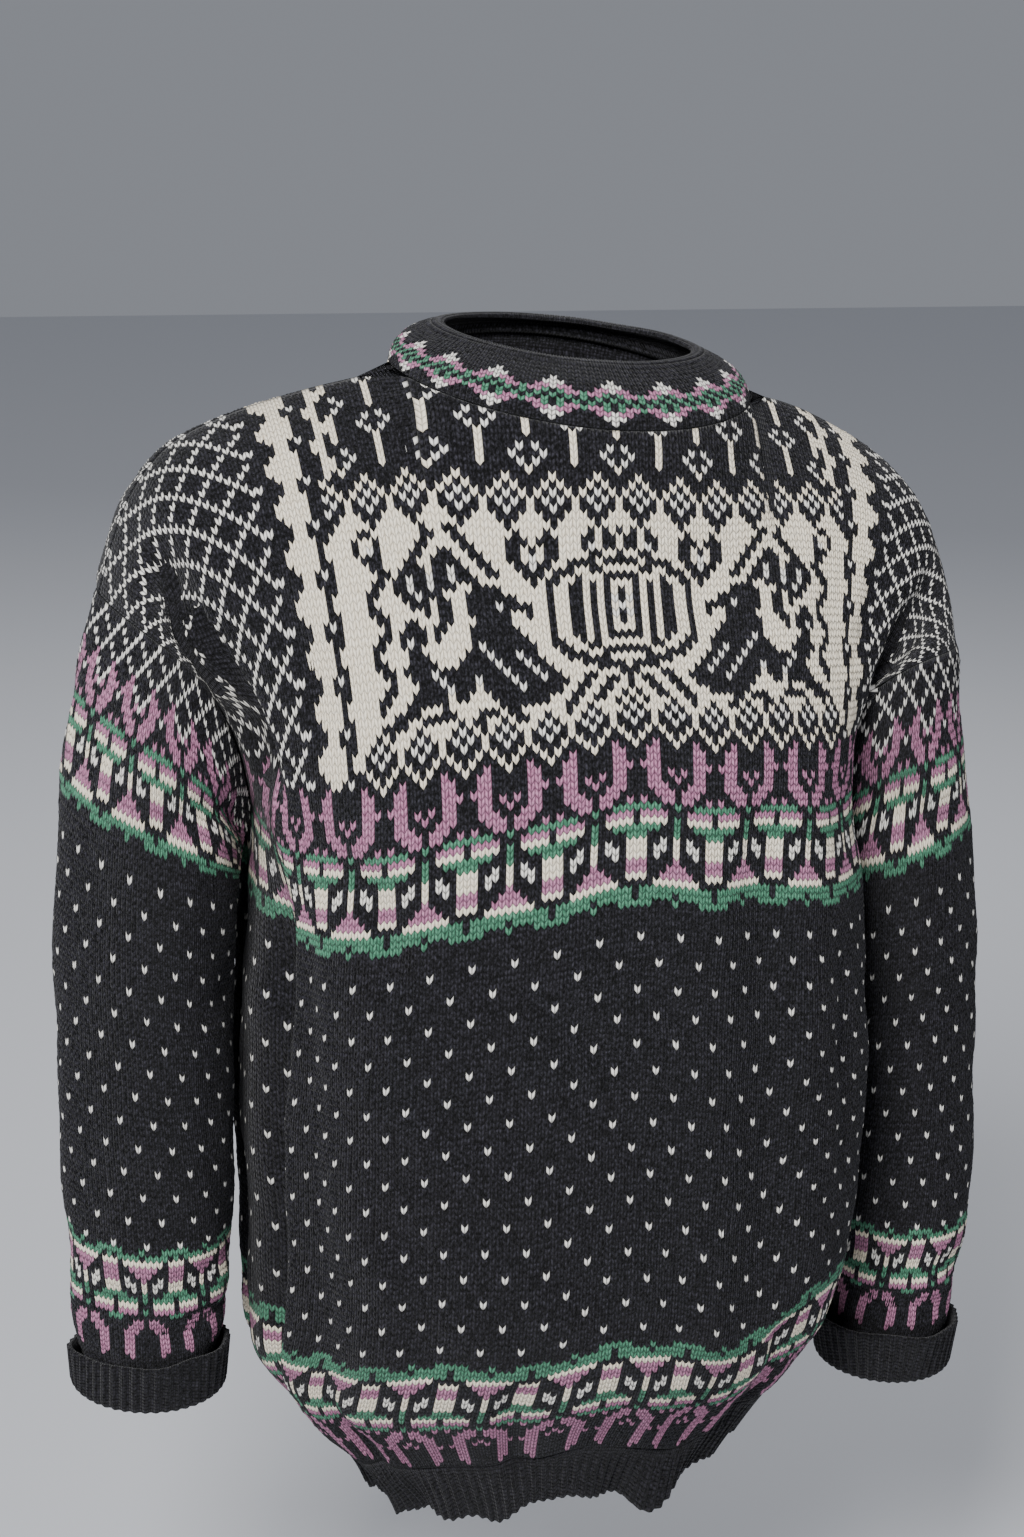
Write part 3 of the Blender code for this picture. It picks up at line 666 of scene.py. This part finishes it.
# ==== cloth as a mesh =============================================================================
class Cloth:
    """A closed mesh in the making; finish is a face's material, threads its places in the knit."""
    def __init__(self):
        self.points, self.faces, self.finish, self.threads = [], [], [], []
        self.count = 0

    def add(self, places):
        flat = places.reshape(-1, 3)
        self.points.append(flat)
        first = self.count
        self.count += len(flat)
        return (np.arange(len(flat)) + first).reshape(places.shape[:-1])

    def grid(self, index, xs, ys, paint=None, flip=False):
        """Faces on a grid of point numbers; xs and ys are the stitch and row at its lines."""
        rows, columns = index.shape[0] - 1, index.shape[1] - 1
        quads = np.stack([index[:-1, :-1], index[1:, :-1], index[1:, 1:], index[:-1, 1:]], -1).reshape(-1, 4)
        x0, x1 = np.broadcast_to(xs[:-1], (rows, columns)), np.broadcast_to(xs[1:], (rows, columns))
        y0, y1 = (np.broadcast_to(y[:, None], (rows, columns)) for y in (ys[:-1], ys[1:]))
        where = np.stack([np.stack([x0, y0], -1), np.stack([x0, y1], -1),
                          np.stack([x1, y1], -1), np.stack([x1, y0], -1)], -2).reshape(-1, 4, 2)
        if paint is None:
            paint = np.zeros((rows, columns), int)
        paint = paint.reshape(-1)
        for quad, uv, finish in zip(quads.tolist(), where.tolist(), paint.tolist()):
            if len(set(quad)) < 4:
                kept = [k for k in range(4) if quad[k] != quad[k - 1]]
                if len({quad[k] for k in kept}) < 3 or len(kept) < 3:
                    continue
                quad, uv = [quad[k] for k in kept], [uv[k] for k in kept]
            if flip:
                quad, uv = quad[::-1], uv[::-1]
            self.faces.append(quad)
            self.threads.append(uv)
            self.finish.append(finish)

    def rim(self, fine, coarse, steps, flip=False):
        """Joins a fine line of points to a coarse one, which has a point at each of the steps."""
        for k in range(len(coarse) - 1):
            line = list(fine[steps[k]:steps[k + 1] + 1]) + [coarse[k + 1], coarse[k]]
            kept = []
            for point in line:
                if not kept or point != kept[-1]:
                    kept.append(int(point))
            if kept[0] == kept[-1]:
                kept.pop()
            if len(set(kept)) < 3:
                continue
            if flip:
                kept = kept[::-1]
            self.faces.append(kept)
            self.threads.append([(0.25 * i, 0.5) for i in range(len(kept))])
            self.finish.append(0)

    def build(self, name, finishes):
        points = np.concatenate(self.points)
        used = sorted({i for face in self.faces for i in face})
        place = np.full(len(points), -1)
        place[used] = np.arange(len(used))
        faces = [[int(place[i]) for i in face] for face in self.faces]
        data = bpy.data.meshes.new(name)
        data.from_pydata(points[used].tolist(), [], faces)
        layer = data.uv_layers.new(name="thread")
        flat = np.array([uv for face in self.threads for uv in face], dtype=np.float32)
        layer.data.foreach_set("uv", flat.reshape(-1))
        data.polygons.foreach_set("material_index", np.array(self.finish, dtype=np.int32))
        for finish in finishes:
            data.materials.append(finish)
        data.polygons.foreach_set("use_smooth", np.ones(len(faces), dtype=bool))
        mesh = bmesh.new()
        mesh.from_mesh(data)
        bmesh.ops.recalc_face_normals(mesh, faces=mesh.faces)
        if mesh.calc_volume(signed=True) < 0:
            bmesh.ops.reverse_faces(mesh, faces=mesh.faces)
        mesh.to_mesh(data)
        mesh.free()
        data.update()
        made = bpy.data.objects.new(name, data)
        bpy.context.scene.collection.objects.link(made)
        return made


def paint_of(chart, columns, rows):
    """The number of each stitch's wool."""
    return np.array([[LETTERS.index(chart(c, r)) for c in columns] for r in rows])


random = np.random.default_rng(7)
LOOP = 0.0008   # how far a stitch's legs stand out
DIP = 0.62      # how many rows lower a stitch's middle is than its edges
FLAT_FROM = 62  # past this stitch, by the armhole, a stitch of the body is two strips and not four
# a stitch is four strips; at their lines, its share of the dip and of the loop's height
DIPS = DIP * np.array([0, 0.5, 1, 0.5])
PLUMP = np.array([0.0, 1.0, 0.25, 1.0])


def uneven(shape, size=1.0):
    return random.normal(0, size, shape)


def soft_noise(points, scale, depth, seed):
    """A gentle unevenness over the cloth, from a few long waves."""
    waves = np.random.default_rng(seed)
    total = np.zeros(points.shape[:-1])
    for _ in range(7):
        turn = waves.normal(size=3)
        turn = turn / np.linalg.norm(turn) * waves.uniform(0.6, 1.5) / scale
        total = total + np.sin(points @ turn * 2 * math.pi + waves.uniform(0, 6.28))
    return total * depth / 3


def knit_panel(name, side, finishes):
    """The front or back, stitch by stitch."""
    creases = FRONT_CREASES if side < 0 else BACK_CREASES
    form = Form(lambda u, v: body(u, v, side, creases),
                np.arange(-HALF, HALF + 1.0), np.arange(0, BODY_ROWS + 13.0, 2.0))
    keep = HALF - SEAM / STITCH
    scale = keep / (HALF + 0.5)
    xs, phase = [], []
    for c in range(-HALF, HALF + 1):
        for part in ((0, 2) if abs(c) > FLAT_FROM else (0, 1, 2, 3)):
            xs.append(c - 0.5 + part / 4)
            phase.append(part)
    xs.append(HALF + 0.5)
    phase.append(0)
    xs, phase = np.array(xs), np.array(phase)
    u = xs * scale
    rows = np.arange(BODY_ROWS + 1)
    v = rows[:, None] + DIPS[phase][None, :]
    top = top_edge(u, side)[1] + SEAM / STITCH
    v[0] = 0
    v = np.minimum(v, BODY_ROWS - SEAM / STITCH)
    v[-1] = BODY_ROWS - SEAM / STITCH
    held = v <= top[None, :] + 0.12
    v = np.where(held, top[None, :], v)
    points = form.at(np.broadcast_to(u, v.shape), v)
    wide = form.at(np.broadcast_to(u, v.shape), np.maximum(rows[:, None] + 0 * v, 0.0))
    out = normals(wide)
    if np.mean(out[80, :, 1] * side) < 0:
        out = -out
    # the loops die away at the side seam, where the pieces lie edge to edge
    at_side = smooth((HALF - np.abs(u)) / 1.5)
    lift = LOOP * PLUMP[phase][None, :] * np.where(held, 0.0, 1.0) * at_side[None, :]
    lift = lift * (1 + 0.25 * uneven(v.shape))
    lift = lift + soft_noise(points, 0.055, 0.0011, 3 + side) * smooth((v - top) / 6) * at_side[None, :]
    lift[-1] = 0
    points = points + out * lift[..., None]
    cloth = Cloth()
    index = cloth.add(points)
    inner = cloth.add(points - out * WALL)
    for j in range(index.shape[1]):
        last = int(np.max(np.nonzero(held[:, j])[0])) if held[:, j].any() else 0
        index[:last, j] = index[last, j]
        inner[:last, j] = inner[last, j]
    columns = np.floor(xs[:-1] + 0.5 + 1e-6).astype(int)
    chart = paint_of(body_chart, range(-HALF, HALF + 1), range(BODY_ROWS))
    cloth.grid(index, xs, rows.astype(float), chart[:, columns + HALF])
    starts = [i for i, x in enumerate(xs) if phase[i] == 0 and round(x + 0.5 + HALF) % 6 == 0]
    if starts[-1] != len(xs) - 1:
        starts.append(len(xs) - 1)
    downs = list(range(0, BODY_ROWS, 5)) + [BODY_ROWS]
    cloth.grid(inner[np.ix_(downs, starts)], xs[starts], np.array(downs, float), flip=True)
    cloth.rim(index[0], inner[0][starts], starts)
    cloth.rim(index[-1], inner[-1][starts], starts, flip=True)
    cloth.rim(index[:, 0], inner[downs, 0], downs, flip=True)
    cloth.rim(index[:, -1], inner[downs, -1], downs)
    return cloth.build(name, finishes)


def knit_sleeve(name, way, finishes):
    """A sleeve, knitted along its length and joined under the arm."""
    form = Form(lambda w, r: sleeve(w, r, way, SLEEVE_CREASES),
                np.arange(0, 2, 1 / 36), np.arange(0, 116.0, 2), wrap=True)
    wide, narrow = 60, 42
    xs = np.arange(-4 * wide, 4 * wide + 1) / 4
    phase = np.arange(len(xs)) % 4
    rows = np.arange(SLEEVE_ROWS + 1)
    half = wide - (wide - narrow) * rows / SLEEVE_ROWS
    k = np.clip(xs[None, :], -half[:, None], half[:, None])
    w = k / half[:, None]
    beyond = np.abs(xs)[None, :] >= half[:, None] - 1e-9
    v = rows[:, None] + DIPS[phase][None, :] * (1 - beyond)
    v[0] = 0
    edge = SEAM / STITCH
    first = (SEAM + FOOT_SEAM * np.exp(-(((np.abs(w) - 1) / 0.3) ** 2))) / STITCH
    v = np.clip(v, first, SLEEVE_ROWS - edge)
    v[-1] = SLEEVE_ROWS - edge
    points = form.at(w % 2, v)
    level = rows[:, None] + 0 * v
    plain = form.at(w % 2, np.clip(level, 1, SLEEVE_ROWS - 1))
    step = form.at((w + 0.01) % 2, np.clip(level, 1, SLEEVE_ROWS - 1)) - plain
    down = form.at(w % 2, np.clip(level + 1, 1, SLEEVE_ROWS)) - plain
    down[-2:] = down[-3:-2]
    out = np.cross(step, down)
    out = out / np.maximum(np.linalg.norm(out, axis=-1, keepdims=True), 1e-12)
    if np.mean(out[60, :, 0] * np.cos(math.pi * w[60]) * way) < 0:
        out = -out
    plump = PLUMP[phase][None, :] * (1 - beyond)
    lift = LOOP * plump * (1 + 0.25 * uneven(v.shape))
    lift = lift + soft_noise(points, 0.05, 0.0010, 11 + way) * smooth(rows[:, None] / 6)
    lift[0] = 0
    points = points + out * lift[..., None]
    cloth = Cloth()
    index = cloth.add(points)
    inner = cloth.add(points - out * WALL)
    for i in range(len(rows)):
        over = np.nonzero(beyond[i])[0]
        left, right = over[over < len(xs) // 2], over[over > len(xs) // 2]
        for numbers in (index, inner):
            numbers[i, left] = numbers[i, left[-1]]
            numbers[i, right] = numbers[i, left[-1]]
    columns = np.floor(xs[:-1] + 1e-6).astype(int)
    chart = paint_of(sleeve_chart, range(-wide, wide), range(SLEEVE_ROWS))
    cloth.grid(index, xs, rows.astype(float), chart[:, columns + wide])
    downs = list(range(0, SLEEVE_ROWS, 7)) + [SLEEVE_ROWS]
    # the inside is a plain tube of 24 strips
    ws = np.arange(-12, 13) / 12
    inner_index = np.zeros((len(downs), 25), int)
    for a, i in enumerate(downs):
        for b, share in enumerate(ws):
            inner_index[a, b] = inner[i, int(round((share * half[i] + wide) * 4))]
        inner_index[a, -1] = inner_index[a, 0]
    cloth.grid(inner_index, ws * 40, np.array(downs, float), flip=True)
    for i, a, flip in ((0, 0, False), (len(rows) - 1, len(downs) - 1, True)):
        steps = [int(round((share * half[i] + wide) * 4)) for share in ws]
        cloth.rim(index[i], inner_index[a], steps, flip=flip)
    return cloth.build(name, finishes)


def ring_cloth(name, points, xs, paint, finishes):
    """A closed ring of cloth whose section is a loop: points is (section, round, 3)."""
    cloth = Cloth()
    index = cloth.add(points)
    index = np.concatenate([index, index[:, :1]], axis=1)
    index = np.concatenate([index, index[:1]], axis=0)
    cloth.grid(index, xs, np.arange(len(points) + 1, dtype=float), paint)
    return cloth.build(name, finishes)


def knit_collar(finishes):
    """The doubled collar: up outside, over the rolled rim, and down inside."""
    count = 144
    xs = np.arange(4 * count + 1) / 4
    phase = np.arange(4 * count) % 4
    angle = 2 * math.pi * (xs[:-1] - 0.5) / count
    foot = collar_ring(angle, COLLAR_FOOT, COLLAR_FOOT_Z)
    rim = collar_ring(angle, COLLAR_RIM, COLLAR_RIM_Z)
    out = stack(np.sin(angle), -np.cos(angle), 0.35 + 0 * angle)
    out = out / np.linalg.norm(out, axis=-1, keepdims=True)
    up = rim - foot
    length = np.linalg.norm(up, axis=-1, keepdims=True)
    up = up / length
    outer_rows, roll_rows, inner_rows = 15, 4, 5
    rises = [("outer", i / outer_rows) for i in range(outer_rows + 1)]
    rises += [("roll", i / roll_rows) for i in range(1, roll_rows)]
    rises += [("inner", 1 - i / inner_rows) for i in range(inner_rows + 1)]
    half = COLLAR_WALL / 2

    def middle_of(share):
        """The middle of the wall, which bulges by up to 6 mm between foot and rim."""
        return foot + (rim - foot) * share + out * (0.006 * math.sin(math.pi * share) - half)

    dips = DIPS[phase] * 0.0028
    lines = []
    for kind, share in rises:
        if kind == "outer":
            place = middle_of(share) + out * half
            if share == 0:
                place = place + up * SEAM
            elif share < 1:
                place = place - up * dips[:, None]
            plump = PLUMP[phase] * LOOP * 0.9 * (0 if share == 0 else 1)
            place = place + out * (plump * (1 + 0.2 * uneven(phase.shape)))[:, None]
        elif kind == "roll":
            turn = math.pi * share
            plump = np.array([-0.4, 0.6, 0.0, 0.6])[phase] * LOOP * 1.2
            radius = half + plump[:, None]
            place = middle_of(1.0) + out * np.cos(turn) * radius + up * np.sin(turn) * radius * 0.9
        else:
            place = middle_of(share) - out * half
            if share == 0:
                place = place + up * SEAM
        lines.append(place)
    points = np.array(lines)
    sway = soft_noise(points, 0.06, 0.0012, 23)
    weight = np.array([min(1.0, 1.6 * s) if k != "inner" else 0.6 * s for k, s in rises])
    points = points + out[None] * (sway * weight[:, None])[..., None]
    rows = len(lines)
    paint = np.zeros((rows, 4 * count), int)
    for i in range(outer_rows):
        for j in range(4 * count):
            paint[i, j] = LETTERS.index(collar_chart(j // 4, outer_rows - i))
    return ring_cloth("collar_knit", points, xs, paint, finishes)


def rib_relief(x):
    """The height of a one and one rib, for a place counted in pairs."""
    s = np.sin(2 * math.pi * x)
    return np.sign(s) * np.abs(s) ** 0.7


def knit_hem(finishes):
    """The hem's rib, down outside, round its scalloped edge and up inside."""
    pairs, each = 150, 6
    around = np.arange(pairs * each) / (pairs * each)
    s = around * 4 * HALF
    side = np.where(s < 2 * HALF, -1, 1)
    u = np.where(s < 2 * HALF, s - HALF, 3 * HALF - s)
    creases = {-1: FRONT_CREASES, 1: BACK_CREASES}

    def place_at(v):
        both = {k: body(u, v, k, creases[k]) for k in (-1, 1)}
        return np.where((side < 0)[:, None], both[-1], both[1])

    here = place_at(BODY_ROWS + 6 + 0 * u)
    along = np.roll(here, -1, axis=0) - np.roll(here, 1, axis=0)
    down = place_at(BODY_ROWS + 8 + 0 * u) - here
    out = np.cross(down, along)
    out = out / np.linalg.norm(out, axis=-1, keepdims=True)
    if np.mean(out[:, 1] * side) < 0:
        out = -out
    relief = rib_relief(around * pairs)
    angle = 2 * math.pi * around
    wave = 0.0038 * np.sin(13 * angle + 0.8) + 0.0030 * np.sin(19 * angle + 2.0) + 0.0020 * np.sin(7 * angle)
    drop = 1.2 * np.sin(11 * angle + 1.1) + 1.0 * np.sin(17 * angle + 0.3) + 0.7 * np.sin(27 * angle)

    def row_at(share):
        return BODY_ROWS + SEAM / STITCH + (RIB_ROWS - 0.6 + drop * 0.8) * share

    lines = []
    outer = 14
    for i in range(outer + 1):
        share = i / outer
        lift = relief * 0.0011 * min(1, 4 * share) + wave * share
        lines.append(place_at(row_at(share)) + out * lift[:, None])
    lines.append(lines[-1] - out * (RIB_WALL * 0.5) + np.array([0, 0, -0.0012]))
    for i in range(4):
        share = 1 - i / 3
        lines.append(place_at(row_at(share)) + out * (wave * share - RIB_WALL)[:, None])
    points = np.array(lines)
    xs = np.arange(pairs * each + 1) / each * 2
    paint = np.zeros((len(lines), pairs * each), int)
    return ring_cloth("hem_rib_knit", points, xs, paint, finishes)


def knit_cuff(name, way, finishes):
    """A turned-up cuff: down inside, round the turn and up outside, then back along its outer face."""
    pairs, each = 44, 6
    count = pairs * each
    w = 2 * np.arange(count) / count
    relief = rib_relief(np.arange(count) / each)
    angle = math.pi * w
    out = stack(way * np.cos(angle), -np.sin(angle), 0 * angle)
    end = sleeve_ring(w, SLEEVE_ROWS + 0 * w, way)
    up = CUFF_UP[0 if way < 0 else 1]
    flare = CUFF_FLARE[0 if way < 0 else 1]
    down = CUFF_INNER[-1][0]
    bulge = 0.5 + 0.5 * np.sin(angle - 0.6)
    wave = 0.0016 * np.sin(5 * angle + 1) + 0.0010 * np.sin(8 * angle + 2)
    lines = []

    def rise(share):
        return up * share * (1 - 0.25 * (1 - bulge))

    def line(offset, height, lift=0.0):
        lines.append(end + out * (offset + lift + 0 * angle)[:, None]
                     + stack(0 * angle, 0 * angle, height + 0 * angle))

    # the wall's near face
    for i in range(6):
        line(-0.001 if 0 < i < 5 else 0, -SEAM - (down - SEAM) * i / 5)
    turn = CUFF_TURN
    tight = turn - RIB_WALL / 2
    for i in range(1, 4):
        a = math.pi * i / 4
        line(turn - tight * math.cos(a) - RIB_WALL / 2, -down - tight * math.sin(a) * 0.6, wave * 0.2)
    for i in range(4):
        share = i / 3
        line(2 * turn - RIB_WALL + flare * bulge * share, -down + rise(share), wave * share)
    line(2 * turn - RIB_WALL / 2 + flare * bulge, -down + rise(1) + 0.0010, wave + relief * 0.0003)
    # the far face, with the ribs
    stops = 12
    for i in range(stops + 1):
        share = 1 - i / stops
        line(2 * turn + flare * bulge * share, -down + rise(share), wave * share + relief * 0.0011)
    loose = turn + RIB_WALL / 2
    for i in range(1, 6):
        a = math.pi * i / 6
        line(turn + loose * math.cos(a) - RIB_WALL / 2, -down - loose * math.sin(a),
             relief * 0.0010 * math.cos(a / 2))
    for i in range(3):
        line(-RIB_WALL, -down + (down - SEAM) * i / 2)
    points = np.array(lines)
    xs = np.arange(count + 1) / each * 2
    paint = np.zeros((len(lines), count), int)
    return ring_cloth(name, points, xs, paint, finishes)


# ==== finishes ====================================================================================
def linear(code):
    values = [int(code[i:i + 2], 16) / 255 for i in (0, 2, 4)]
    return tuple(v / 12.92 if v <= 0.04045 else ((v + 0.055) / 1.055) ** 2.4 for v in values)


def yarn(name, dark, light, fleck=0.5, groove_shade=0.4, edge=0.7):
    """Wool in two close tones, with painted shade darkening the hollow beside each thread, and loose fibres
    as fine relief.
    """
    made = bpy.data.materials.new(name)
    made.use_nodes = True
    nodes, links = made.node_tree.nodes, made.node_tree.links
    shader = nodes["Principled BSDF"]
    shader.inputs["Roughness"].default_value = 0.93
    shader.inputs["Metallic"].default_value = 0.0
    shader.inputs["Specular IOR Level"].default_value = 0.12
    shader.inputs["Sheen Weight"].default_value = 0.08
    shader.inputs["Sheen Roughness"].default_value = 0.55
    where = nodes.new("ShaderNodeTexCoord")
    fine = nodes.new("ShaderNodeTexNoise")
    fine.inputs["Scale"].default_value = 480
    fine.inputs["Detail"].default_value = 3
    fine.inputs["Roughness"].default_value = 0.7
    links.new(where.outputs["Object"], fine.inputs["Vector"])
    tone = nodes.new("ShaderNodeValToRGB")
    tone.color_ramp.elements[0].position = fleck - 0.12
    tone.color_ramp.elements[0].color = (*linear(dark), 1)
    tone.color_ramp.elements[1].position = fleck + 0.14
    tone.color_ramp.elements[1].color = (*linear(light), 1)
    links.new(fine.outputs["Fac"], tone.inputs["Fac"])

    def math_node(kind, a, b=None):
        node = nodes.new("ShaderNodeMath")
        node.operation = kind
        for socket, value in zip(node.inputs, (a, b)):
            if value is None:
                continue
            if isinstance(value, (int, float)):
                socket.default_value = value
            else:
                links.new(value, socket)
        return node.outputs[0]

    thread = nodes.new("ShaderNodeUVMap")
    thread.uv_map = "thread"
    split = nodes.new("ShaderNodeSeparateXYZ")
    links.new(thread.outputs["UV"], split.inputs[0])
    across = math_node("ABSOLUTE", math_node("SINE", math_node("MULTIPLY", split.outputs[0], 2 * math.pi)))
    along = math_node("ABSOLUTE", math_node("SINE", math_node("MULTIPLY", split.outputs[1], math.pi)))
    loop = math_node("MULTIPLY", math_node("POWER", across, 0.7), math_node("POWER", along, 0.6))
    shade = nodes.new("ShaderNodeMix")
    shade.data_type = "RGBA"
    shade.blend_type = "MULTIPLY"
    # painted shade: the wool's colour is multiplied darker in the hollow between a stitch's legs, where shade
    # falls
    groove_shade_ramp = nodes.new("ShaderNodeValToRGB")
    groove_shade_ramp.color_ramp.elements[0].position = 0.0
    groove_shade_ramp.color_ramp.elements[0].color = (groove_shade, groove_shade, groove_shade, 1)
    groove_shade_ramp.color_ramp.elements[1].position = edge
    groove_shade_ramp.color_ramp.elements[1].color = (1, 1, 1, 1)
    links.new(loop, groove_shade_ramp.inputs["Fac"])
    shade.inputs[0].default_value = 1.0
    links.new(tone.outputs["Color"], shade.inputs[6])
    links.new(groove_shade_ramp.outputs["Color"], shade.inputs[7])
    links.new(shade.outputs[2], shader.inputs["Base Color"])
    height = math_node("ADD", loop, math_node("MULTIPLY", fine.outputs["Fac"], 0.35))
    bump = nodes.new("ShaderNodeBump")
    bump.inputs["Strength"].default_value = 0.9
    bump.inputs["Distance"].default_value = 0.0008
    links.new(height, bump.inputs["Height"])
    links.new(bump.outputs["Normal"], shader.inputs["Normal"])
    return made


# the last two numbers of each wool set its painted shade: how dark the hollow between a stitch's legs is
# painted, and how far up the loop that shade reaches
charcoal = yarn("charcoal_wool", "060607", "393840", 0.53, 0.03, 0.95)
cream = yarn("cream_wool", "e2d6bf", "f6edda", 0.5, 0.4, 0.55)
white = yarn("white_wool", "dedbd4", "f0ede6", 0.5, 0.06, 0.75)
pink = yarn("mauve_wool", "9c6582", "c08aa6", 0.5, 0.2, 0.75)
green = yarn("green_wool", "3c6c54", "5c9478", 0.5, 0.2, 0.75)
rib_wool = yarn("charcoal_rib_wool", "060607", "302f36", 0.53, 0.1, 0.9)
wools = [charcoal, cream, white, pink, green]

# ==== the pieces ==================================================================================
front = knit_panel("front_knit", -1, wools)
back = knit_panel("back_knit", 1, wools)
sleeve_right = knit_sleeve("sleeve_right_knit", -1, wools)
sleeve_left = knit_sleeve("sleeve_left_knit", 1, wools)
collar = knit_collar(wools)
hem = knit_hem([rib_wool])
cuff_right = knit_cuff("cuff_right_knit", -1, [rib_wool])
cuff_left = knit_cuff("cuff_left_knit", 1, [rib_wool])

for piece, node, slot in (
        (front, "front", "patterned_knit"), (back, "back", "patterned_knit"),
        (sleeve_right, "sleeve_right", "patterned_knit"), (sleeve_left, "sleeve_left", "patterned_knit"),
        (collar, "collar", "patterned_knit"), (hem, "hem_rib", "charcoal_rib"),
        (cuff_right, "cuff_right", "charcoal_rib"), (cuff_left, "cuff_left", "charcoal_rib")):
    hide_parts(node)
    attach(piece, "root")

# ==== floor, light and camera =====================================================================
FLOOR = -0.97
ground = bpy.data.meshes.new("floor")
half = 6.0
ground.from_pydata([(-half, -half, FLOOR), (half, -half, FLOOR), (half, half, FLOOR), (-half, half, FLOOR)],
                   [], [(0, 1, 2, 3)])
floor = bpy.data.objects.new("floor", ground)
bpy.context.scene.collection.objects.link(floor)
plain = bpy.data.materials.new("pale_floor")
plain.use_nodes = True
plain.node_tree.nodes["Principled BSDF"].inputs["Base Color"].default_value = (0.62, 0.63, 0.66, 1)
plain.node_tree.nodes["Principled BSDF"].inputs["Roughness"].default_value = 0.9
ground.materials.append(plain)


def lamp(name, place, aim, size, power):
    data = bpy.data.lights.new(name, "AREA")
    data.shape = "SQUARE"
    data.size = size
    data.energy = power
    made = bpy.data.objects.new(name, data)
    made.location = place
    made.rotation_euler = (Vector(aim) - Vector(place)).to_track_quat("-Z", "Y").to_euler()
    bpy.context.scene.collection.objects.link(made)
    return made


key = lamp("key_light", (-1.5, -2.2, 1.6), (0, 0, -0.3), 1.0, 155)
fill = lamp("fill_light", (1.9, -2.2, 0.9), (0, 0, -0.35), 1.6, 20)
back_light = lamp("back_light", (0.8, 2.2, 1.4), (0, 0, -0.3), 1.6, 30)

world = bpy.context.scene.world or bpy.data.worlds.new("studio")
bpy.context.scene.world = world
world.use_nodes = True
world.node_tree.nodes["Background"].inputs["Color"].default_value = (0.60, 0.63, 0.70, 1)
world.node_tree.nodes["Background"].inputs["Strength"].default_value = 0.40

# the camera looks a little from the wearer's right and from above
TURN, PITCH, ROLL = math.radians(18), math.radians(16.5), math.radians(2.3)
ahead = Vector((math.sin(TURN), math.cos(TURN), 0))
aside = Vector((math.cos(TURN), -math.sin(TURN), 0))
look = ahead * math.cos(PITCH) + Vector((0, 0, -math.sin(PITCH)))
above = aside.cross(look)
camera_x = aside * math.cos(ROLL) + above * math.sin(ROLL)
camera_y = above * math.cos(ROLL) - aside * math.sin(ROLL)
lens = bpy.data.cameras.new("camera")
lens.sensor_fit = "VERTICAL"
lens.sensor_height = 36
lens.lens = 81.2
lens.dof.use_dof = False
camera = bpy.data.objects.new("camera", lens)
camera.matrix_world = Matrix.Translation((-0.646, -1.914, 0.345)) @ Matrix(
    (camera_x, camera_y, -look)).transposed().to_4x4()
bpy.context.scene.collection.objects.link(camera)
bpy.context.scene.camera = camera
